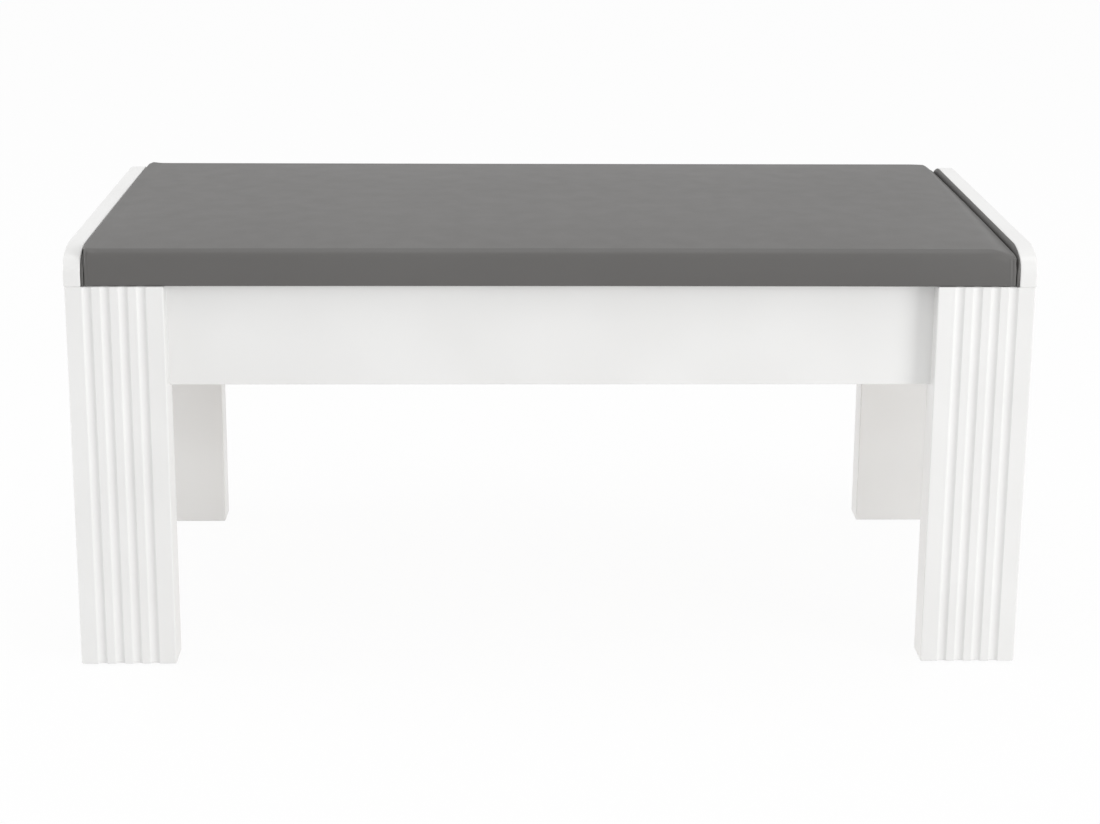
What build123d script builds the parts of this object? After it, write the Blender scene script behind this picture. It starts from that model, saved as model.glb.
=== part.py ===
"""Upholstered bench: four fluted legs, a doweled apron frame, two end cheeks and a padded seat.

Millimetres. +X runs along the bench, the front faces -Y, +Z is up and the glides stand on Z = 0.
"""

import os
from math import cos, radians, sin

from build123d import *

# Bench
bench_width = 1000.0
bench_depth = 480.0
seat_plane = 416.0

# Legs, milled from thick board with upright flutes on the outer face
leg_width = 101.0
leg_thickness = 38.0
leg_arris = 1.5
leg_end_bevel = 0.9
flute_count = 4
flute_pitch = 18.5
flute_radius = 6.9
flute_depth = 2.2
flute_lip = 1.1

# Glides, two nailed under each leg
glide_thickness = 2.0
glide_radius = 11.0
glide_edge = 0.8
glide_spacing = 52.0
nail_radius = 1.3
nail_length = 14.0
nail_point = 3.0

# Aprons and rails
apron_height = 110.0
apron_thickness = 18.0
rail_thickness = 18.0
rail_setback = 20.0
cross_rail_thickness = 18.0
cross_rail_height = 60.0
board_arris = 1.2

# Cheeks and their linings
cheek_height = 39.0
cheek_thickness = 18.0
cheek_overhang = 1.0
cheek_nose_depth = 40.0
cheek_nose_height = 25.0
cheek_nose_turn = 60.0
cheek_arris = 1.6
cheek_foot_bevel = 0.9
lining_thickness = 3.0
lining_inset = 0.6
lining_arris = 0.8

# Seat pad
seat_gap = 0.8
seat_reveal = 1.0
seat_side_height = 38.0
seat_crown_middle = 6.0
seat_crown_end = 2.5
seat_draw_in = 2.0
seat_edge_radius = 8.5
cover_thickness = 1.2
hem_width = 30.0
seat_board_thickness = 15.0

# Dowels
dowel_radius = 4.0
dowel_length = 34.0
dowel_bevel = 1.0
dowel_rows = 3
dowel_row_spacing = 34.0
cross_dowel_length = 16.0
cross_dowel_spacing = 32.0
cheek_dowel_length = 26.0
cheek_dowel_spacing = 18.0

# Corner blocks and screws
block_along_apron = 110.0
block_along_rail = 70.0
block_end = 16.0
block_height = 36.0
apron_screw_place = 92.0
leg_screw_place = 50.0
rail_screw_place = 52.0
seat_screw_from_rail = 26.0
seat_screw_from_apron = 30.0
upper_screw_drop = 11.0
lower_screw_drop = 25.0
screw_radius = 2.0
screw_head_radius = 4.0
screw_head_height = 2.6
screw_point = 4.0
screw_web = 12.0
screw_bite = 12.0
seat_screw_web = 25.0
seat_screw_bite = 11.0

# Room left round dowels, nails and screws, and round a screw head
clearance = 0.1
end_room = 1.0
head_room = 1.0

# Planes that the pieces share
half_width = bench_width / 2
half_depth = bench_depth / 2
leg_outer = half_width - cheek_overhang
leg_inner = leg_outer - leg_width
leg_back = half_depth - leg_thickness
leg_x = (leg_outer + leg_inner) / 2
leg_y = (half_depth + leg_back) / 2
leg_height = seat_plane - glide_thickness
apron_y = leg_back + apron_thickness / 2
apron_z = seat_plane - apron_height / 2
rail_x = leg_outer - rail_setback - rail_thickness / 2
rail_inner = rail_x - rail_thickness / 2
cross_rail_z = seat_plane - cross_rail_height / 2
cheek_inner = half_width - cheek_thickness
cheek_x = (half_width + cheek_inner) / 2
lining_inner = cheek_inner - lining_thickness
nose_sin = sin(radians(cheek_nose_turn))
nose_cos = cos(radians(cheek_nose_turn))
nose_span = nose_cos * nose_sin - (1 - nose_cos) * (1 - nose_sin)
nose_low_radius = (cheek_nose_height * nose_cos - cheek_nose_depth * (1 - nose_sin)) / nose_span
nose_high_radius = (cheek_nose_depth * nose_sin - cheek_nose_height * (1 - nose_cos)) / nose_span
seat_half_width = lining_inner - seat_gap
seat_half_depth = half_depth - seat_reveal
seat_board_top = seat_plane + cover_thickness + seat_board_thickness

corners = {
    "front_left": (-1, -1),
    "front_right": (1, -1),
    "rear_left": (-1, 1),
    "rear_right": (1, 1),
}
sides = {"left": -1, "right": 1}
faces = {"front": -1, "rear": 1}

os.makedirs("parts", exist_ok=True)


def save(piece, name):
    """Label a finished piece and write it as its own STEP file."""
    piece.part.label = name
    export_step(piece.part, f"parts/{name}.step")


def rows(count, spacing):
    """Offsets of evenly spaced rows about their middle."""
    return [(index - (count - 1) / 2) * spacing for index in range(count)]


# Places of the dowels, nails and screws: each plane's normal runs along the fastener


def apron_dowels(side, face):
    """Dowels across the joint between an apron's end and a leg's inner edge."""
    return [
        Plane(origin=(side * leg_inner, face * apron_y, apron_z + z), z_dir=(1, 0, 0))
        for z in rows(dowel_rows, dowel_row_spacing)
    ]


def rail_dowels(side, face):
    """Dowels across the joint between an end rail and a leg's back."""
    return [
        Plane(origin=(side * rail_x, face * leg_back, apron_z + z), z_dir=(0, 1, 0))
        for z in rows(dowel_rows, dowel_row_spacing)
    ]


def cross_dowels(face):
    """Dowels across the joint between the centre cross rail and an apron."""
    return [
        Plane(origin=(0, face * leg_back, cross_rail_z + z), z_dir=(0, 1, 0))
        for z in rows(2, cross_dowel_spacing)
    ]


def cheek_dowels(side, face):
    """Upright dowels across the seam between a cheek and a leg's top."""
    return [
        Plane(origin=(side * cheek_x, face * (leg_y + y), seat_plane))
        for y in rows(2, cheek_dowel_spacing)
    ]


def glide_places(side, face):
    """Floor points under a leg's two glides."""
    return [
        Plane(origin=(side * (leg_x + x), face * leg_y, 0)) for x in rows(2, glide_spacing)
    ]


def apron_screw(side, face):
    """Head seat of the screw from a corner block into the apron."""
    x = side * (rail_inner - apron_screw_place)
    y = face * (leg_back - screw_web)
    return Plane(origin=(x, y, seat_plane - upper_screw_drop), z_dir=(0, face, 0))


def leg_screw(side, face):
    """Head seat of the screw from a corner block into the leg."""
    x = side * (rail_inner - leg_screw_place)
    y = face * (leg_back - screw_web)
    return Plane(origin=(x, y, seat_plane - upper_screw_drop), z_dir=(0, face, 0))


def rail_screw(side, face):
    """Head seat of the screw from a corner block into the end rail."""
    x = side * (rail_inner - screw_web)
    y = face * (leg_back - rail_screw_place)
    return Plane(origin=(x, y, seat_plane - lower_screw_drop), z_dir=(side, 0, 0))


def seat_screw(side, face):
    """Head seat of the upright screw from a corner block into the seat board."""
    x = side * (rail_inner - seat_screw_from_rail)
    y = face * (leg_back - seat_screw_from_apron)
    return Plane(origin=(x, y, seat_plane - seat_screw_web))


screw_length = screw_web + screw_bite
seat_screw_length = seat_screw_web + cover_thickness + seat_screw_bite


def drill_dowels(places, length):
    """Cut dowel holes across a joint in the piece being built."""
    with Locations(*places):
        Cylinder(dowel_radius + clearance, length + 2 * end_room, mode=Mode.SUBTRACT)


def drill_screws(places, length):
    """Cut screw holes forward from their head seats in the piece being built."""
    with Locations(*places):
        Cylinder(
            screw_radius + clearance,
            length + end_room,
            align=(Align.CENTER, Align.CENTER, Align.MIN),
            mode=Mode.SUBTRACT,
        )


def counterbore(places, depth):
    """Cut the head recess back from each head seat in the piece being built."""
    with Locations(*places):
        Cylinder(
            screw_head_radius + head_room,
            depth,
            align=(Align.CENTER, Align.CENTER, Align.MAX),
            mode=Mode.SUBTRACT,
        )


# Legs
for corner, (side, face) in corners.items():
    with BuildPart() as leg:
        with BuildSketch(Plane.XY.offset(glide_thickness)) as outline:
            with Locations((side * leg_x, face * leg_y)):
                Rectangle(leg_width, leg_thickness)
            with Locations((side * leg_x, face * (half_depth + flute_radius - flute_depth))):
                with GridLocations(flute_pitch, 0, flute_count, 1):
                    Circle(flute_radius, mode=Mode.SUBTRACT)
            lips = outline.vertices().group_by(Axis.X)[1:-1]
            fillet([lip for column in lips for lip in column], flute_lip)
            columns = outline.vertices().group_by(Axis.X)
            fillet(columns[0] + columns[-1], leg_arris)
        extrude(amount=leg_height)
        levels = leg.edges().group_by(Axis.Z)
        chamfer(levels[0] + levels[-1], leg_end_bevel)
        drill_dowels(apron_dowels(side, face) + rail_dowels(side, face), dowel_length)
        drill_dowels(cheek_dowels(side, face), cheek_dowel_length)
        drill_screws([leg_screw(side, face)], screw_length)
        with Locations(*glide_places(side, face)):
            Cylinder(
                nail_radius + clearance,
                glide_thickness + nail_length + end_room,
                align=(Align.CENTER, Align.CENTER, Align.MIN),
                mode=Mode.SUBTRACT,
            )
    save(leg, f"{corner}_leg")

# Glides: a flat plastic disc moulded round a nail
with BuildPart() as glide:
    with BuildSketch(Plane.XZ):
        with BuildLine():
            Polyline(
                (0, 0),
                (glide_radius - glide_edge, 0),
                (glide_radius, glide_edge),
                (glide_radius, glide_thickness),
                (nail_radius, glide_thickness),
                (nail_radius, glide_thickness + nail_length - nail_point),
                (0, glide_thickness + nail_length),
                close=True,
            )
        make_face()
    revolve(axis=Axis.Z)

with BuildPart() as floor_glides:
    for side, face in corners.values():
        with Locations(*glide_places(side, face)):
            add(glide.part)
save(floor_glides, "floor_glides")

# Aprons, doweled between the legs with their backs flush with the legs' backs
for end, face in faces.items():
    with BuildPart() as apron:
        with Locations((0, face * apron_y, apron_z)):
            Box(2 * leg_inner, apron_thickness, apron_height)
        fillet(apron.edges().filter_by(Axis.X), board_arris)
        for side in sides.values():
            drill_dowels(apron_dowels(side, face), dowel_length)
            drill_screws([apron_screw(side, face)], screw_length)
        drill_dowels(cross_dowels(face), cross_dowel_length)
    save(apron, f"{end}_apron")

# End rails, doweled between the backs of the front and rear legs
for end, side in sides.items():
    with BuildPart() as end_rail:
        with Locations((side * rail_x, 0, apron_z)):
            Box(rail_thickness, 2 * leg_back, apron_height)
        fillet(end_rail.edges().filter_by(Axis.Y), board_arris)
        for face in faces.values():
            drill_dowels(rail_dowels(side, face), dowel_length)
            drill_screws([rail_screw(side, face)], screw_length)
    save(end_rail, f"{end}_end_rail")

# Centre cross rail, which carries the middle of the seat
with BuildPart() as cross_rail:
    with Locations((0, 0, cross_rail_z)):
        Box(cross_rail_thickness, 2 * leg_back, cross_rail_height)
    fillet(cross_rail.edges().filter_by(Axis.Y), board_arris)
    for face in faces.values():
        drill_dowels(cross_dowels(face), cross_dowel_length)
save(cross_rail, "centre_cross_rail")

# Corner blocks, screwed into leg, apron and end rail, and drilled for the seat screw
for corner, (side, face) in corners.items():
    block_corners = [
        (0, 0),
        (block_along_apron, 0),
        (block_along_apron, block_end),
        (block_end, block_along_rail),
        (0, block_along_rail),
    ]
    with BuildPart() as block:
        with BuildSketch(Plane.XY.offset(seat_plane - block_height)):
            with BuildLine():
                Polyline(
                    *[(side * (rail_inner - a), face * (leg_back - b)) for a, b in block_corners],
                    close=True,
                )
            make_face()
        extrude(amount=block_height)
        frame_screws = [apron_screw(side, face), leg_screw(side, face), rail_screw(side, face)]
        drill_screws(frame_screws, screw_length)
        counterbore(frame_screws, block_along_apron)
        drill_screws([seat_screw(side, face)], seat_screw_length)
        counterbore([seat_screw(side, face)], block_height)
    save(block, f"{corner}_corner_block")


def cheek_outline(x, inset):
    """Draw a cheek's side view on the plane at x, moved in by inset except along its foot."""
    reach = half_depth - inset
    nose_z = seat_plane + cheek_height - cheek_nose_height
    turns = [(nose_low_radius, cheek_nose_turn), (nose_high_radius, 90 - cheek_nose_turn)]
    with BuildSketch(Plane.YZ.offset(x)) as outline:
        with BuildLine():
            edge = Line((reach, seat_plane), (reach, nose_z))
            for radius, turn in turns:
                edge = JernArc(edge @ 1, edge % 1, radius - inset, turn)
            edge = Line(edge @ 1, (-(edge @ 1).X, (edge @ 1).Y))
            for radius, turn in reversed(turns):
                edge = JernArc(edge @ 1, edge % 1, radius - inset, turn)
            Polyline(edge @ 1, (-reach, seat_plane), (reach, seat_plane))
        make_face()
    return outline.sketch


# Cheeks, which stand on the leg tops, and the covered panels on their inner faces
for end, side in sides.items():
    with BuildPart() as cheek:
        flank = min(side * cheek_inner, side * half_width)
        extrude(cheek_outline(flank, 0), amount=cheek_thickness)
        flanks = cheek.faces().sort_by(Axis.X)
        flank_edges = flanks[0].edges() + flanks[-1].edges()
        fillet([edge for level in flank_edges.group_by(Axis.Z)[1:] for edge in level], cheek_arris)
        chamfer(cheek.edges().group_by(Axis.Z)[0], cheek_foot_bevel)
        for face in faces.values():
            drill_dowels(cheek_dowels(side, face), cheek_dowel_length)
    save(cheek, f"{end}_cheek")

    with BuildPart() as lining:
        flank = min(side * cheek_inner, side * lining_inner)
        extrude(cheek_outline(flank, lining_inset), amount=lining_thickness)
        inner_face = lining.faces().sort_by(Axis.X)[0 if side > 0 else -1]
        fillet(inner_face.edges(), lining_arris)
    save(lining, f"{end}_cheek_lining")


def seat_form(inset):
    """Pad with a crowned top and drawn-in long sides, every face moved in by inset."""
    foot = seat_plane + inset
    shoulder = seat_plane + seat_side_height - inset
    half = seat_half_depth - inset
    stations = [
        (inset - seat_half_width, half, seat_crown_end),
        (0, half - seat_draw_in, seat_crown_middle),
        (seat_half_width - inset, half, seat_crown_end),
    ]
    with BuildPart() as form:
        for x, reach, crown in stations:
            with BuildSketch(Plane.YZ.offset(x)):
                with BuildLine():
                    Polyline((-reach, shoulder), (-reach, foot), (reach, foot), (reach, shoulder))
                    ThreePointArc((reach, shoulder), (0, shoulder + crown), (-reach, shoulder))
                make_face()
        loft()
        uprights = form.edges().group_by(SortBy.LENGTH)[0]
        crown_rim = form.faces().sort_by(Axis.Z)[-1].edges()
        fillet(uprights + crown_rim, seat_edge_radius - inset)
    return form


# Seat: board and foam inside one cover, whose hem is turned under the board
pad_outside = seat_form(0)
pad_inside = seat_form(cover_thickness)

with BuildPart() as seat_board:
    add(pad_inside.part)
    split(bisect_by=Plane.XY.offset(seat_board_top), keep=Keep.BOTTOM)
    for side, face in corners.values():
        drill_screws([seat_screw(side, face)], seat_screw_length)
save(seat_board, "seat_board")

with BuildPart() as seat_foam:
    add(pad_inside.part)
    split(bisect_by=Plane.XY.offset(seat_board_top), keep=Keep.TOP)
save(seat_foam, "seat_foam")

with BuildPart() as seat_cover:
    add(pad_outside.part)
    add(pad_inside.part, mode=Mode.SUBTRACT)
    with Locations((0, 0, seat_plane)):
        Box(
            2 * (seat_half_width - hem_width),
            2 * (seat_half_depth - hem_width),
            2 * cover_thickness,
            mode=Mode.SUBTRACT,
        )
save(seat_cover, "seat_cover")

# Dowels, as groups of loose pins with bevelled ends


def dowel_pin(length):
    """One bevelled dowel, centred on its joint."""
    with BuildPart() as pin:
        Cylinder(dowel_radius, length)
        chamfer(pin.edges().filter_by(GeomType.CIRCLE), dowel_bevel)
    return pin.part


def dowel_group(places, length, name):
    """Place one dowel at every plane and save them as a group."""
    pin = dowel_pin(length)
    with BuildPart() as group:
        with Locations(*places):
            add(pin)
    save(group, name)


dowel_group([p for c in corners.values() for p in apron_dowels(*c)], dowel_length, "apron_dowels")
dowel_group([p for c in corners.values() for p in rail_dowels(*c)], dowel_length, "end_rail_dowels")
dowel_group([p for f in faces.values() for p in cross_dowels(f)], cross_dowel_length, "cross_rail_dowels")
dowel_group([p for c in corners.values() for p in cheek_dowels(*c)], cheek_dowel_length, "cheek_dowels")


def screw_group(places, length, name):
    """Turn one pointed pan-head screw and place it at every head seat."""
    with BuildPart() as screw:
        with BuildSketch(Plane.XZ):
            with BuildLine():
                Polyline(
                    (0, -screw_head_height),
                    (screw_head_radius / 2, -screw_head_height),
                    (screw_head_radius, -screw_head_height / 2),
                    (screw_head_radius, 0),
                    (screw_radius, 0),
                    (screw_radius, length - screw_point),
                    (0, length),
                    close=True,
                )
            make_face()
        revolve(axis=Axis.Z)
    with BuildPart() as group:
        with Locations(*places):
            add(screw.part)
    save(group, name)


frame_screw_places = [
    place(side, face)
    for side, face in corners.values()
    for place in (apron_screw, leg_screw, rail_screw)
]
screw_group(frame_screw_places, screw_length, "corner_block_screws")
screw_group([seat_screw(*c) for c in corners.values()], seat_screw_length, "seat_screws")
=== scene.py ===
import math

import bmesh
import bpy
import numpy as np
from mathutils import Matrix, Vector, noise
from mathutils.bvhtree import BVHTree
from mathutils.interpolate import poly_3d_calc


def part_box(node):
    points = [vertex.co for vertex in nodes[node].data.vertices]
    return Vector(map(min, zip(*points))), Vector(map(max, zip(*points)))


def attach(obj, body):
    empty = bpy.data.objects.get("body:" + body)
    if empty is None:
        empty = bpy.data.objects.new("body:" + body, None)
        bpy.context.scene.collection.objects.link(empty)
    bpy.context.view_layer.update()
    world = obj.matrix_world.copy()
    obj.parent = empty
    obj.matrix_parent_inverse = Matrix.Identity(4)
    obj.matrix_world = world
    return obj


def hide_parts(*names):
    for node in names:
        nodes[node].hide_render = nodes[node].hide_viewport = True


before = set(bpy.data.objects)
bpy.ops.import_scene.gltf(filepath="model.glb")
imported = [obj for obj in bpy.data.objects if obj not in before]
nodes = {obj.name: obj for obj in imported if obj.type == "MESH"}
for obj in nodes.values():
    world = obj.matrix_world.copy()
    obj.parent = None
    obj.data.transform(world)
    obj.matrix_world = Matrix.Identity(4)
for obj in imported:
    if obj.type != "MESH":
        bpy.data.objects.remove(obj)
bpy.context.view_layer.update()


# Floor glides
# Eight round discs of white nylon, each moulded around a steel nail and hammered into
# the foot of a leg, two under each. Their rims are scuffed by the floor.

glide_white = (0.74, 0.74, 0.72, 1.0)
glide_scuffed = (0.55, 0.54, 0.52, 1.0)
glide_gloss = (0.35, 0.6)
scuffs_per_metre = 260.0
scuff_strength = 0.3
scuff_depth = 0.0002


def blank_finish(name):
    """A new material: the material, its tree, its shader and where it is read, in metres."""
    finish = bpy.data.materials.new(name)
    finish.use_nodes = True
    tree = finish.node_tree
    where = tree.nodes.new("ShaderNodeTexCoord").outputs["Object"]
    return finish, tree, tree.nodes["Principled BSDF"], where


def cloud(tree, where, per_metre, detail=3.0):
    """A soft noise with that many features to the metre, from 0 to 1."""
    texture = tree.nodes.new("ShaderNodeTexNoise")
    texture.inputs["Scale"].default_value = per_metre
    texture.inputs["Detail"].default_value = detail
    tree.links.new(where, texture.inputs["Vector"])
    return texture.outputs["Fac"]


def colours(tree, share, stops):
    """A colour for each share, from (share, colour) stops."""
    ramp = tree.nodes.new("ShaderNodeValToRGB")
    while len(ramp.color_ramp.elements) < len(stops):
        ramp.color_ramp.elements.new(0.5)
    for element, (place, colour) in zip(ramp.color_ramp.elements, stops):
        element.position = place
        element.color = colour
    tree.links.new(share, ramp.inputs["Fac"])
    return ramp.outputs["Color"]


def between(tree, share, low, high):
    """A share from 0.3 to 0.7, where a noise mostly lies, spread from low to high."""
    spread = tree.nodes.new("ShaderNodeMapRange")
    spread.inputs["From Min"].default_value = 0.3
    spread.inputs["From Max"].default_value = 0.7
    spread.inputs["To Min"].default_value = low
    spread.inputs["To Max"].default_value = high
    tree.links.new(share, spread.inputs["Value"])
    return spread.outputs["Result"]


def relief(tree, height, strength, depth, under=None):
    """A bump of that depth in metres, on top of another where one is given."""
    bump = tree.nodes.new("ShaderNodeBump")
    bump.inputs["Strength"].default_value = strength
    bump.inputs["Distance"].default_value = depth
    tree.links.new(height, bump.inputs["Height"])
    if under:
        tree.links.new(under, bump.inputs["Normal"])
    return bump.outputs["Normal"]


def dress(node_names, finish):
    """Gives these CAD nodes one finish."""
    for name in node_names:
        nodes[name].data.materials.clear()
        nodes[name].data.materials.append(finish)


nylon, tree, shader, where = blank_finish("nylon")
scuffs = cloud(tree, where, scuffs_per_metre)
nylon_colour = colours(tree, scuffs, [(0.4, glide_white), (0.75, glide_scuffed)])
tree.links.new(nylon_colour, shader.inputs["Base Color"])
tree.links.new(between(tree, scuffs, *glide_gloss), shader.inputs["Roughness"])
tree.links.new(relief(tree, scuffs, scuff_strength, scuff_depth), shader.inputs["Normal"])
dress(["floor_glides"], nylon)


# Legs, aprons, end rails and cross rail
# The frame is board, milled and then sprayed all over with a white satin lacquer. The legs'
# outer faces carry four upright flutes each, cut with a round-nosed cutter before spraying.

lacquer_white = (0.845, 0.843, 0.835, 1.0)
lacquer_shade = (0.815, 0.812, 0.803, 1.0)
lacquer_gloss = (0.29, 0.34)
passes_per_metre = 9.0
sheen_per_metre = 24.0
peel_per_metre = 140.0
peel_strength = 0.12
peel_depth = 0.00004
coat_weight = 0.15
coat_roughness = 0.25

lacquer, tree, shader, where = blank_finish("white_satin_lacquer")
spray = cloud(tree, where, passes_per_metre, 1.0)
sheen = cloud(tree, where, sheen_per_metre, 0.0)
peel = cloud(tree, where, peel_per_metre, 0.0)
lacquer_colour = colours(tree, spray, [(0.3, lacquer_shade), (0.65, lacquer_white)])
tree.links.new(lacquer_colour, shader.inputs["Base Color"])
tree.links.new(between(tree, sheen, *lacquer_gloss), shader.inputs["Roughness"])
tree.links.new(relief(tree, peel, peel_strength, peel_depth), shader.inputs["Normal"])
shader.inputs["Coat Weight"].default_value = coat_weight
shader.inputs["Coat Roughness"].default_value = coat_roughness

corners = [f"{face}_{end}" for face in ("front", "rear") for end in ("left", "right")]
dress([f"{corner}_leg" for corner in corners], lacquer)
dress(["front_apron", "rear_apron", "left_end_rail", "right_end_rail", "centre_cross_rail"], lacquer)


# Dowels and corner blocks
# Beech, left bare. The dowels are glued blind into the boards. The four blocks are planed
# wedges in the corners of the frame, screwed to leg, apron and end rail.

beech_pale = (0.62, 0.44, 0.27, 1.0)
beech_dark = (0.47, 0.31, 0.18, 1.0)
beech_fleck = (0.36, 0.22, 0.12, 1.0)
beech_gloss = (0.72, 0.5)
fibre_stretch = (0.06, 1.0, 1.0)
fibres_per_metre = 260.0
fibre_detail = 6.0
fibre_strength = 0.3
fibre_depth = 0.0003

beech, tree, shader, where = blank_finish("bare_beech")
along = tree.nodes.new("ShaderNodeMapping")
along.inputs["Scale"].default_value = fibre_stretch
tree.links.new(where, along.inputs["Vector"])
grain = cloud(tree, along.outputs["Vector"], fibres_per_metre, fibre_detail)
beech_colour = colours(tree, grain, [(0.28, beech_fleck), (0.4, beech_dark), (0.62, beech_pale)])
tree.links.new(beech_colour, shader.inputs["Base Color"])
tree.links.new(between(tree, grain, *beech_gloss), shader.inputs["Roughness"])
tree.links.new(relief(tree, grain, fibre_strength, fibre_depth), shader.inputs["Normal"])

dress(["apron_dowels", "end_rail_dowels", "cross_rail_dowels", "cheek_dowels"], beech)
dress([f"{corner}_corner_block" for corner in corners], beech)


# Screws
# Zinc-plated steel wood screws: three hold each corner block to the frame, and a longer one
# goes up through each block into the seat board.

zinc_bright = (0.66, 0.66, 0.64, 1.0)
zinc_dull = (0.46, 0.46, 0.43, 1.0)
zinc_gloss = (0.5, 0.32)
bloom_per_metre = 500.0

zinc, tree, shader, where = blank_finish("zinc_plate")
bloom = cloud(tree, where, bloom_per_metre)
zinc_colour = colours(tree, bloom, [(0.35, zinc_dull), (0.6, zinc_bright)])
tree.links.new(zinc_colour, shader.inputs["Base Color"])
tree.links.new(between(tree, bloom, *zinc_gloss), shader.inputs["Roughness"])
shader.inputs["Metallic"].default_value = 1.0
dress(["corner_block_screws", "seat_screws"], zinc)


# Cheeks
# One board at each end, doweled to the leg tops, with its upper corners worked to a round
# nose and lacquered like the frame.

dress(["left_cheek", "right_cheek"], lacquer)


# Seat board
# A plain chipboard panel, screwed up from the corner blocks. The foam is glued on it, and the
# cover's hem is turned under its edge, so only its underside is seen, from below.

chip_pale = (0.56, 0.43, 0.28, 1.0)
chip_mid = (0.44, 0.32, 0.19, 1.0)
chip_dark = (0.27, 0.18, 0.1, 1.0)
chip_roughness = 0.82
chips_per_metre = 330.0
chip_strength = 0.4
chip_depth = 0.0004

chipboard, tree, shader, where = blank_finish("chipboard")
chips = tree.nodes.new("ShaderNodeTexVoronoi")
chips.inputs["Scale"].default_value = chips_per_metre
tree.links.new(where, chips.inputs["Vector"])
chip_stops = [(0.1, chip_dark), (0.45, chip_mid), (0.9, chip_pale)]
tree.links.new(colours(tree, chips.outputs["Color"], chip_stops), shader.inputs["Base Color"])
chip_relief = relief(tree, chips.outputs["Distance"], chip_strength, chip_depth)
tree.links.new(chip_relief, shader.inputs["Normal"])
shader.inputs["Roughness"].default_value = chip_roughness
dress(["seat_board"], chipboard)


# Cheek linings
# A thin panel on each cheek's inner face, with the cheek's own outline, wrapped in the seat's
# grey leather cloth and glued on. The right one's wrap rolls over softly at its edge. The left
# one is drawn tight and stops just below the cheek's top, where the seat laps over it.

cover_grey = (0.1, 0.097, 0.0935, 1.0)
cover_worn = (0.094, 0.0908, 0.0875, 1.0)
cover_gloss = (0.5, 0.54)
cover_shine = 0.6
hide_per_metre = 4.0
hide_detail = 2.0
wear_per_metre = 35.0
pebbles_per_metre = 750.0
pebble_strength = 0.25
pebble_depth = 0.00012
puckers_per_metre = 120.0
pucker_strength = 0.06
pucker_depth = 0.0003

# The nose is two tangent arcs, from the front up: each one's radius, and its turn in degrees.
nose_arcs = [(0.0195, 60), (0.0605, 30)]
nose_steps = 7
nose_height = 0.025
wall_cut = 0.008
top_cuts = (0.6, 0.2, -0.2, -0.6)
roll_steps = 6
lining_fullness = 0.0001
fullness_rims = [(0.7, 0.007), (1.0, 0.012)]
foot_room = 0.0002
edge_roll = 0.0004

# Each end: its name and side, how far its top stops short, and how its top edge rolls in and down.
lining_ends = [("left", -1.0, 0.0027, 0.0004, 0.0004), ("right", 1.0, 0.0, 0.0027, 0.005)]
roll_flatness = 1.6
short_sharpness = 6

leather_cloth, tree, shader, where = blank_finish("grey_leather_cloth")
hide = cloud(tree, where, hide_per_metre, hide_detail)
cover_colour = colours(tree, hide, [(0.35, cover_worn), (0.65, cover_grey)])
tree.links.new(cover_colour, shader.inputs["Base Color"])
wear = cloud(tree, where, wear_per_metre)
tree.links.new(between(tree, wear, *cover_gloss), shader.inputs["Roughness"])
shader.inputs["Specular IOR Level"].default_value = cover_shine
pebbles = tree.nodes.new("ShaderNodeTexVoronoi")
pebbles.feature = "SMOOTH_F1"
pebbles.inputs["Scale"].default_value = pebbles_per_metre
tree.links.new(where, pebbles.inputs["Vector"])
puckers = relief(tree, cloud(tree, where, puckers_per_metre), pucker_strength, pucker_depth)
pebbled = relief(tree, pebbles.outputs["Distance"], pebble_strength, pebble_depth, puckers)
tree.links.new(pebbled, shader.inputs["Normal"])


def mesh_object(name, points, faces, finish):
    """A smooth-shaded object of these points and faces, linked into the scene."""
    mesh = bpy.data.meshes.new(name)
    mesh.from_pydata([tuple(p) for p in points], [], faces)
    mesh.shade_smooth()
    mesh.materials.append(finish)
    thing = bpy.data.objects.new(name, mesh)
    bpy.context.scene.collection.objects.link(thing)
    return thing


def lining_outline(low, high):
    """The panel's side view from foot to foot: its (y, z) points and the angle each one faces."""
    half = [(high.y, low.z, 0.0), (high.y, (low.z + high.z) / 2 - wall_cut, 0.0)]
    y, z, turned = high.y, high.z - nose_height, 0
    half.append((y, z, 0.0))
    for radius, turn in nose_arcs:
        start = math.radians(turned)
        for step in range(1, nose_steps + 1):
            angle = math.radians(turned + turn * step / nose_steps)
            half.append((
                y + radius * (math.cos(angle) - math.cos(start)),
                z + radius * (math.sin(angle) - math.sin(start)),
                angle,
            ))
        y, z = half[-1][0], half[-1][1]
        turned += turn
    top = [(half[-1][0] * share, high.z, math.pi / 2) for share in top_cuts]
    other = [(-y, z, math.pi - angle) for y, z, angle in reversed(half)]
    return half + top + other


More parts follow.
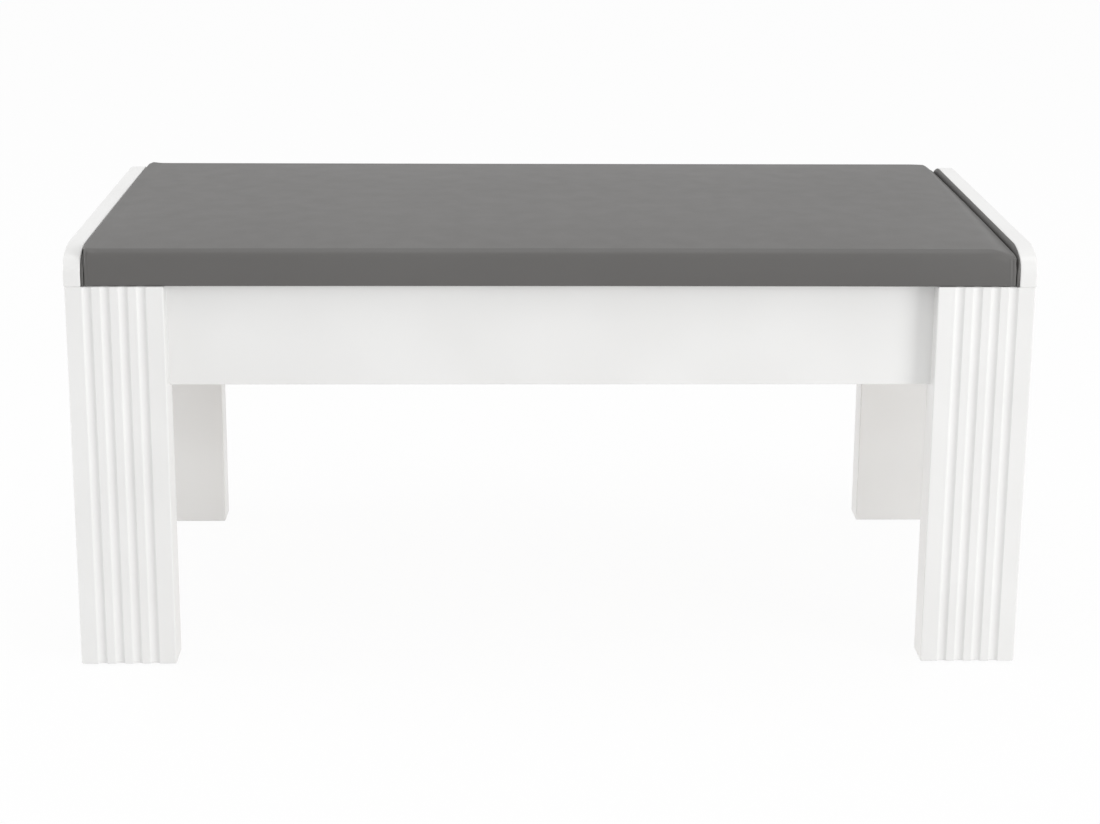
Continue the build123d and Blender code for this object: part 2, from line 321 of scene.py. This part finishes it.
for end, side, short, roll_in, roll_down in lining_ends:
    node = f"{end}_cheek_lining"
    low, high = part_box(node)
    back = high.x if side > 0 else low.x
    face = low.x if side > 0 else high.x
    outline = lining_outline(low, high)
    foot = low.z + foot_room
    rims = [(back, 0.0, 0.0, 0.0)]
    for step in range(roll_steps + 1):
        angle = math.radians(90 * step / roll_steps)
        to_back = 1 - math.sin(angle) ** roll_flatness
        rims.append((face, to_back, 1 - max(0.0, math.cos(angle)) ** roll_flatness, 0.0))
    for share, inset in fullness_rims:
        rims.append((face - side * lining_fullness * share, 0.0, 0.0, inset))
    points = []
    for x, to_back, down, inset in rims:
        for y, z, angle in outline:
            upward = math.sin(angle)
            inward = inset + down * (edge_roll + (roll_down - edge_roll) * upward)
            points.append((
                x + side * to_back * (edge_roll + (roll_in - edge_roll) * upward),
                y - inward * math.cos(angle),
                max(foot, z - inward * upward - short * upward ** short_sharpness),
            ))
    count = len(outline)
    faces = []
    for ring in range(len(rims) - 1):
        for i in range(count):
            j = (i + 1) % count
            this, above = ring * count, (ring + 1) * count
            quad = (this + i, this + j, above + j, above + i)
            faces.append(quad if side > 0 else quad[::-1])
    last = (len(rims) - 1) * count
    for i in range(count // 2 - 1):
        quad = (last + i, last + i + 1, last + count - 2 - i, last + count - 1 - i)
        faces.append(quad if side > 0 else quad[::-1])
        quad = (i + 1, i, count - 1 - i, count - 2 - i)
        faces.append(quad if side > 0 else quad[::-1])
    lining = mesh_object(f"{end}_wrapped_lining", points, faces, leather_cloth)
    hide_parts(node)
    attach(lining, "root")


# Seat cover
# Grey leather cloth drawn tight over the foam and folded under the board. The foam swells it:
# the top is crowned, the long sides are drawn in, and the walls are full at mid height.

seat_low, seat_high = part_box("seat_cover")
seat_side_height = 0.0384
crown_middle = 0.0042
crown_end = 0.0012
draw_in = 0.0018
edge_radius = 0.0085
left_edge_radius = 0.002
left_edge_reach = 0.016
left_lift = 0.0008
right_edge_width = 0.0024
right_edge_radius = 0.0022
right_edge_reach = 0.01
corner_radius = 0.001
corner_depth = 0.0024
left_corner_radius = 0.0003
left_corner_depth = 0.0005
foot_radius = 0.0012
fullness_at_ends = 0.0003
foam_push = 5.5
foam_push_on_top = 0.03
swell_limit = 0.0024
room_at_ends = 0.0002
hem_width = 0.03
hem_step = 0.002

# Grids: the width of the fine band at the edges, the fine step, the coarse step, the wall's step.
cushion_grid = (0.0132, 0.0011, 0.008, 0.0018)
cloth_grid = (0.007, 0.0035, 0.012, 0.0035)
cloth_steps = 20
rim_share = 0.75
top_share = 0.3


def ease(share):
    """A share held between 0 and 1, with soft ends."""
    share = np.clip(share, 0.0, 1.0)
    return share * share * (3 - 2 * share)


def cuts(low, high, band, fine, coarse):
    """Places from low to high, close together within band of either end."""
    near = np.arange(0.0, band + fine / 2, fine)
    count = max(1, round((high - low - 2 * near[-1]) / coarse))
    middle = np.linspace(low + near[-1], high - near[-1], count + 1)
    return np.concatenate([low + near[:-1], middle, high - near[:-1][::-1]])


def grid_box(name, low, high, band, fine, coarse, wall):
    """A closed box with its sides cut into a grid that is fine within band of the edges."""
    places = [cuts(low[k], high[k], band, fine, coarse) for k in (0, 1)]
    places.append(cuts(low[2], high[2], wall * 2, wall, wall * 2))
    last = [len(p) - 1 for p in places]
    known, points, faces = {}, [], []

    def corner(*at):
        if at not in known:
            known[at] = len(points)
            points.append([places[k][at[k]] for k in range(3)])
        return known[at]

    for level in range(3):
        right, up = (level + 1) % 3, (level + 2) % 3
        for depth in (0, last[level]):
            for i in range(last[right]):
                for j in range(last[up]):
                    quad = []
                    for di, dj in ((0, 0), (1, 0), (1, 1), (0, 1)):
                        at = [0, 0, 0]
                        at[level], at[right], at[up] = depth, i + di, j + dj
                        quad.append(corner(*at))
                    faces.append(quad if depth else quad[::-1])
    mesh = bpy.data.meshes.new(name)
    mesh.from_pydata(points, [], faces)
    return mesh


def places_of(mesh):
    """A mesh's points as an array."""
    spots = np.empty(len(mesh.vertices) * 3)
    mesh.vertices.foreach_get("co", spots)
    return spots.reshape(-1, 3)


def normals_of(mesh):
    """A mesh's point normals as an array."""
    return np.array([vertex.normal for vertex in mesh.vertices])


def put(mesh, spots):
    """Moves a mesh's points to those places."""
    mesh.vertices.foreach_set("co", spots.ravel())
    mesh.update()


def shape_pad(mesh, low, high):
    """Rounds a box's edges, least at its ends, crowns its top and draws its long sides in."""
    spots = places_of(mesh)
    at_left = ease(1 - (spots[:, 0] - low[0]) / left_edge_reach)
    at_right = ease(1 - (high[0] - spots[:, 0]) / right_edge_reach)
    at_top = ease((spots[:, 2] - high[2] + 2 * edge_radius) / edge_radius)
    left_radius = left_corner_radius + (left_edge_radius - left_corner_radius) * at_top
    right_radius = corner_radius + (right_edge_width - corner_radius) * at_top
    wall_radius = corner_depth + (left_corner_depth - corner_depth) * at_left
    face_radius = wall_radius + (edge_radius - wall_radius) * at_top
    top_radius = edge_radius + (left_edge_radius - edge_radius) * at_left
    top_radius += (right_edge_radius - edge_radius) * at_right
    foot = np.full(len(spots), foot_radius)
    first = low + np.column_stack([left_radius, face_radius, foot])
    last = high - np.column_stack([right_radius, face_radius, top_radius])
    inner = np.minimum(np.maximum(spots, first), last)
    end_radius = np.where(spots[:, 0] < inner[:, 0], left_radius, right_radius)
    level_radius = np.where(spots[:, 2] < inner[:, 2], foot, top_radius)
    radius = np.column_stack([end_radius, face_radius, level_radius])
    out = (spots - inner) / radius
    spots = inner + out / np.maximum(np.linalg.norm(out, axis=1, keepdims=True), 1e-9) * radius
    middle, half = (low + high) / 2, (high - low) / 2
    along = 1 - ((spots[:, 0] - middle[0]) / half[0]) ** 2
    across = 1 - (spots[:, 1] / half[1]) ** 2
    rise = (spots[:, 2] - low[2]) / (high[2] - low[2])
    spots[:, 2] += (crown_end + (crown_middle - crown_end) * along) * across * rise
    spots[:, 2] += left_lift * at_left * rise
    spots[:, 1] *= 1 - draw_in * along / half[1]
    put(mesh, spots)
    return spots


pad_low = np.array((seat_low.x - fullness_at_ends, seat_low.y, seat_low.z))
pad_high = np.array((seat_high.x + fullness_at_ends, seat_high.y, seat_low.z + seat_side_height))
cushion_mesh = grid_box("seat_cushion", pad_low, pad_high, *cushion_grid)
cushion_spots = shape_pad(cushion_mesh, pad_low, pad_high)
cushion = bpy.data.objects.new("seat_cushion", cushion_mesh)
bpy.context.scene.collection.objects.link(cushion)

cloth_mesh = grid_box("swelling_cover", pad_low, pad_high, *cloth_grid)
rest = shape_pad(cloth_mesh, pad_low, pad_high)
cloth = bpy.data.objects.new("swelling_cover", cloth_mesh)
bpy.context.scene.collection.objects.link(cloth)
at_edge = np.abs(rest[:, 1]) > pad_high[1] - edge_radius - draw_in
at_edge |= rest[:, 0] < pad_low[0] + left_edge_radius
at_edge |= rest[:, 0] > pad_high[0] - right_edge_width
at_foot = rest[:, 2] < pad_low[2] + foot_radius
on_rim = at_edge & (rest[:, 2] > pad_high[2] - edge_radius * rim_share)
on_top = rest[:, 2] > pad_high[2] - edge_radius * top_share
held = cloth.vertex_groups.new(name="held_by_hem_and_foam_edge")
held.add(np.flatnonzero(at_foot | on_rim).tolist(), 1.0, "REPLACE")
pushed = cloth.vertex_groups.new(name="pushed_by_foam")
pushed.add(np.flatnonzero(~on_top).tolist(), 1.0, "REPLACE")
pushed.add(np.flatnonzero(on_top).tolist(), foam_push_on_top, "REPLACE")
swell = cloth.modifiers.new("swell", "CLOTH")
swell.settings.quality = 6
swell.settings.mass = 0.3
swell.settings.tension_stiffness = 30.0
swell.settings.compression_stiffness = 30.0
swell.settings.shear_stiffness = 15.0
swell.settings.bending_stiffness = 1.0
swell.settings.use_pressure = True
swell.settings.uniform_pressure_force = foam_push
swell.settings.effector_weights.gravity = 0.0
swell.settings.vertex_group_mass = held.name
swell.settings.vertex_group_pressure = pushed.name
swell.collision_settings.use_collision = False
swell.point_cache.frame_start = 1
swell.point_cache.frame_end = cloth_steps
for step in range(1, cloth_steps + 1):
    bpy.context.scene.frame_set(step)
swollen = cloth.evaluated_get(bpy.context.evaluated_depsgraph_get()).to_mesh()
swelling = np.sum((places_of(swollen) - rest) * normals_of(cloth_mesh), axis=1)
swelling = np.clip(swelling, 0.0, swell_limit)
bpy.context.scene.frame_set(1)
patches = [list(polygon.vertices) for polygon in cloth_mesh.polygons]
skin = BVHTree.FromPolygons(rest.tolist(), patches)
bpy.data.objects.remove(cloth)
outward = normals_of(cushion_mesh)
for i, spot in enumerate(cushion_spots):
    near, _, patch, _ = skin.find_nearest(spot)
    ring = patches[patch]
    shares = poly_3d_calc([Vector(rest[k]) for k in ring], near)
    cushion_spots[i] += outward[i] * sum(share * swelling[k] for share, k in zip(shares, ring))
first, last = pad_low[0] - room_at_ends, pad_high[0] + room_at_ends
cushion_spots[:, 0] = np.clip(cushion_spots[:, 0], first, last)
put(cushion_mesh, cushion_spots)

smoother = cushion.modifiers.new("smoother", "SUBSURF")
smoother.levels = 1
smoother.render_levels = 1
cushion.data = bpy.data.meshes.new_from_object(
    cushion.evaluated_get(bpy.context.evaluated_depsgraph_get())
)
cushion.modifiers.remove(smoother)


# Folds of the seat cover
# The cover was pulled down hardest at the right end, so its edge there rolls off and stands up
# in a crease, with small upright pleats at the corners. At the left it laps over the lining.

roll_depth = 0.0064
roll_width_rear = 0.009
roll_width_front = 0.026
roll_curve = 1.5
crease_place = 0.0022
crease_height = 0.0009
crease_width = 0.0011
crease_waver = 0.3
wavers_per_metre = 24.0
lap = 0.0028
lap_level = seat_low.z + 0.0362
lap_rise = 0.0012
lap_reach = 0.006
lap_start = 0.004
lap_run_in = 0.014

# Each pleat: its end and face, its distance from the end, slant and depth, and the corner's drop.
pleats = [
    (1, -1, 0.0052, -0.0012, 0.0004, 0.0014),
    (-1, -1, 0.0034, -0.0006, 0.0004, 0.0),
    (1, 1, 0.0046, -0.0012, 0.0012, 0.0018),
    (-1, 1, 0.0036, -0.0008, 0.0008, 0.0),
]
pleat_width = 0.0007
pleat_reach = 0.009
pleat_start = 0.08
pleat_stop = 1.05
pleat_taper = 0.6
drop_along = 0.014
drop_across = 0.011

# The cover rises beside a pleat: each rise's height, and its place and width in pleat widths.
pleat_rises = [(0.42, 2.6, 1.5), (0.36, -2.1, 1.1)]


def bell(distance, width):
    """1 at no distance, falling off smoothly over width."""
    return np.exp(-((distance / width) ** 2))


spots = places_of(cushion.data)
outward = normals_of(cushion.data)
high_up = np.clip((spots[:, 2] - pad_low[2]) / seat_side_height, 0.0, 1.0)
from_right = pad_high[0] - spots[:, 0]
from_left = spots[:, 0] - pad_low[0]
to_rear = np.clip((spots[:, 1] - pad_low[1]) / (pad_high[1] - pad_low[1]), 0.0, 1.0)
roll_width = roll_width_front + (roll_width_rear - roll_width_front) * np.sqrt(to_rear)
roll = np.clip(1 - (from_right - crease_place) / roll_width, 0.0, 1.0) ** roll_curve
lift = np.array([noise.noise(Vector((0.0, y * wavers_per_metre, 3.0))) for y in spots[:, 1]])
crease = bell(from_right - crease_place, crease_width) * np.clip(outward[:, 2], 0.0, 1.0)
spots[:, 2] -= roll_depth * roll * high_up
spots += outward * (crease_height * (1 + crease_waver * lift) * crease)[:, None]
lapped = ease((spots[:, 2] - lap_level) / lap_rise) * ease(1 - from_left / lap_reach)
lapped *= ease((pad_high[1] - np.abs(spots[:, 1]) - lap_start) / lap_run_in)
spots[:, 0] -= lap * lapped

for side, face, start, slant, depth, drop in pleats:
    from_end = (pad_high[0] - spots[:, 0]) if side > 0 else (spots[:, 0] - pad_low[0])
    from_face = (pad_high[1] - spots[:, 1]) if face > 0 else (spots[:, 1] - pad_low[1])
    at_wall = np.clip(1 - from_face / pleat_reach, 0.0, 1.0) ** 0.5
    down = 1 - high_up
    away = from_end - (start + slant * down)
    fade = np.clip(down / pleat_start, 0.0, 1.0) * np.clip(pleat_stop - down, 0.0, 1.0) ** pleat_taper
    groove = -bell(away, pleat_width)
    for height, place, width in pleat_rises:
        groove += height * bell(away - place * pleat_width, width * pleat_width)
    spots += outward * (depth * groove * at_wall * fade)[:, None]
    spots[:, 2] -= drop * bell(from_end, drop_along) * bell(from_face, drop_across) * high_up
put(cushion.data, spots)

hem = bmesh.new()
hem.from_mesh(cushion.data)
window = []
for face in hem.faces:
    spot = face.calc_center_median()
    inside = (
        pad_low[0] + hem_width < spot.x < pad_high[0] - hem_width
        and pad_low[1] + hem_width < spot.y < pad_high[1] - hem_width
    )
    if inside and spot.z < pad_low[2] + foot_radius:
        window.append(face)
raised = bmesh.ops.extrude_face_region(hem, geom=window)
bmesh.ops.delete(hem, geom=window, context="FACES")
for piece in raised["geom"]:
    if isinstance(piece, bmesh.types.BMVert):
        piece.co.z += hem_step
hem.to_mesh(cushion.data)
hem.free()
cushion.data.shade_smooth()
cushion.data.materials.clear()
cushion.data.materials.append(leather_cloth)

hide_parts("seat_cover", "seat_foam")
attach(cushion, "root")


# Staples
# Fine zinc-plated wire, shot up through the hem of the cover into the seat board. They show from
# below at both ends, in the strip of hem between the end rail and the open board.

wire_radius = 0.00045
wire_sides = 8
staple_span = 0.0104
staple_leg = 0.006
staple_bend = 0.0009
bend_steps = 3
staple_pitch = 0.031
staples_per_end = 8
staple_line = 0.0222
largest_slant = 0.14
slant_change = 2.4

half_span = staple_span / 2
wire_path = [(-half_span, staple_leg)]
for step in range(bend_steps + 1):
    angle = math.radians(90 * step / bend_steps)
    wire_path.append((
        -half_span + staple_bend * (1 - math.cos(angle)),
        staple_bend * (1 - math.sin(angle)),
    ))
wire_path += [(-along, up) for along, up in reversed(wire_path)]

points, faces = [], []
for side in (-1, 1):
    for number in range(staples_per_end):
        middle_x = side * (seat_high.x - staple_line)
        middle_y = staple_pitch * (number - (staples_per_end - 1) / 2)
        slant = largest_slant * math.sin(slant_change * number + side)
        start = len(points)
        for k, (along, up) in enumerate(wire_path):
            before = wire_path[max(k - 1, 0)]
            after = wire_path[min(k + 1, len(wire_path) - 1)]
            run = Vector((after[0] - before[0], after[1] - before[1])).normalized()
            for corner in range(wire_sides):
                angle = 2 * math.pi * corner / wire_sides
                across = wire_radius * math.cos(angle)
                out = wire_radius * math.sin(angle)
                length = along - run.y * out
                points.append((
                    middle_x + across * math.cos(slant) - length * math.sin(slant),
                    middle_y + across * math.sin(slant) + length * math.cos(slant),
                    seat_low.z + up + run.x * out,
                ))
        for k in range(len(wire_path) - 1):
            for corner in range(wire_sides):
                this = start + k * wire_sides + corner
                beside = start + k * wire_sides + (corner + 1) % wire_sides
                faces.append((this, beside, beside + wire_sides, this + wire_sides))
        last = start + (len(wire_path) - 1) * wire_sides
        faces.append(tuple(range(start + wire_sides - 1, start - 1, -1)))
        faces.append(tuple(range(last, last + wire_sides)))
staples = mesh_object("hem_staples", points, faces, zinc)
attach(staples, "root")


# Studio floor
# A plain pale floor under the bench. It is lit as a matt surface and keeps a faint soft shadow,
# and the camera sees it nearly as white as the backdrop.

floor_size = 14.0
floor_white = (0.95, 0.95, 0.95, 1.0)
floor_roughness = 0.9
floor_glow = 0.94

pale_floor, tree, shader, where = blank_finish("pale_floor")
floor_corners = []
for x, y in ((-1, -1), (1, -1), (1, 1), (-1, 1)):
    floor_corners.append((x * floor_size / 2, y * floor_size / 2, 0.0))
floor = mesh_object("studio_floor", floor_corners, [(0, 1, 2, 3)], pale_floor)
shader.inputs["Base Color"].default_value = floor_white
shader.inputs["Roughness"].default_value = floor_roughness


def seen_directly(tree):
    """1 for what the camera sees, also in gloss or through glass, and 0 for soft light."""
    path = tree.nodes.new("ShaderNodeLightPath")
    total = path.outputs["Is Camera Ray"]
    for name in ("Is Glossy Ray", "Is Transmission Ray"):
        add = tree.nodes.new("ShaderNodeMath")
        add.use_clamp = True
        tree.links.new(total, add.inputs[0])
        tree.links.new(path.outputs[name], add.inputs[1])
        total = add.outputs["Value"]
    return total


glow = tree.nodes.new("ShaderNodeEmission")
share = tree.nodes.new("ShaderNodeMath")
share.operation = "MULTIPLY"
share.inputs[1].default_value = floor_glow
tree.links.new(seen_directly(tree), share.inputs[0])
blend = tree.nodes.new("ShaderNodeMixShader")
tree.links.new(share.outputs["Value"], blend.inputs["Fac"])
tree.links.new(shader.outputs["BSDF"], blend.inputs[1])
tree.links.new(glow.outputs["Emission"], blend.inputs[2])
tree.links.new(blend.outputs["Shader"], tree.nodes["Material Output"].inputs["Surface"])


# Studio light
# A white room gives most of the light. A large far soft box at the front right models the
# flutes, a weak one lights the faces turned to the left, and a broad one hangs overhead.

room_white = (1.0, 1.0, 1.0, 1.0)
room_level = 0.65

# Each lamp: its name, its place, what it points at, its side in metres and its watts.
lamps = [
    ("soft_box_right", (5.43, -4.4, 1.2), (0.0, 0.0, 0.3), 2.8, 186.0),
    ("soft_box_left", (-5.0, -0.1, 0.9), (0.0, 0.0, 0.4), 1.6, 85.0),
    ("overhead", (0.2, -0.3, 2.6), (0.0, 0.0, 0.4), 1.8, 16.0),
]

world = bpy.data.worlds.new("white_room")
bpy.context.scene.world = world
world.use_nodes = True
tree = world.node_tree
backdrop = tree.nodes["Background"]
backdrop.inputs["Color"].default_value = room_white
backdrop.inputs["Strength"].default_value = 1.0
room = tree.nodes.new("ShaderNodeBackground")
room.inputs["Color"].default_value = room_white
room.inputs["Strength"].default_value = room_level
blend = tree.nodes.new("ShaderNodeMixShader")
tree.links.new(seen_directly(tree), blend.inputs["Fac"])
tree.links.new(room.outputs["Background"], blend.inputs[1])
tree.links.new(backdrop.outputs["Background"], blend.inputs[2])
tree.links.new(blend.outputs["Shader"], tree.nodes["World Output"].inputs["Surface"])

for name, spot, aim, size, power in lamps:
    lamp = bpy.data.lights.new(name, "AREA")
    lamp.shape = "SQUARE"
    lamp.size = size
    lamp.energy = power
    holder = bpy.data.objects.new(name, lamp)
    holder.location = spot
    holder.rotation_euler = (Vector(aim) - Vector(spot)).to_track_quat("-Z", "Y").to_euler()
    bpy.context.scene.collection.objects.link(holder)

bpy.context.scene.view_settings.view_transform = "Standard"


# Camera
# It stands a little left of the middle, about 2.2 m in front of the bench and half a metre
# above the seat, and looks down on it. The frame is dropped a little below the lens axis.

picture_width = 1100
sensor_width = 36.0
lens_in_pixels = 2228.4
camera_place = (-0.0579, -2.4571, 0.9704)
tilt_down = 0.2417
turn = -0.0249
lean = 0.0066
frame_drop = -0.12

camera = bpy.data.cameras.new("camera")
camera.sensor_width = sensor_width
camera.lens = lens_in_pixels / picture_width * sensor_width
camera.shift_y = frame_drop
holder = bpy.data.objects.new("camera", camera)
holder.location = camera_place
aim = Matrix.Rotation(turn, 3, "Z") @ Matrix.Rotation(math.pi / 2 - tilt_down, 3, "X")
holder.rotation_euler = (aim @ Matrix.Rotation(lean, 3, "Z")).to_euler()
bpy.context.scene.collection.objects.link(holder)
bpy.context.scene.camera = holder
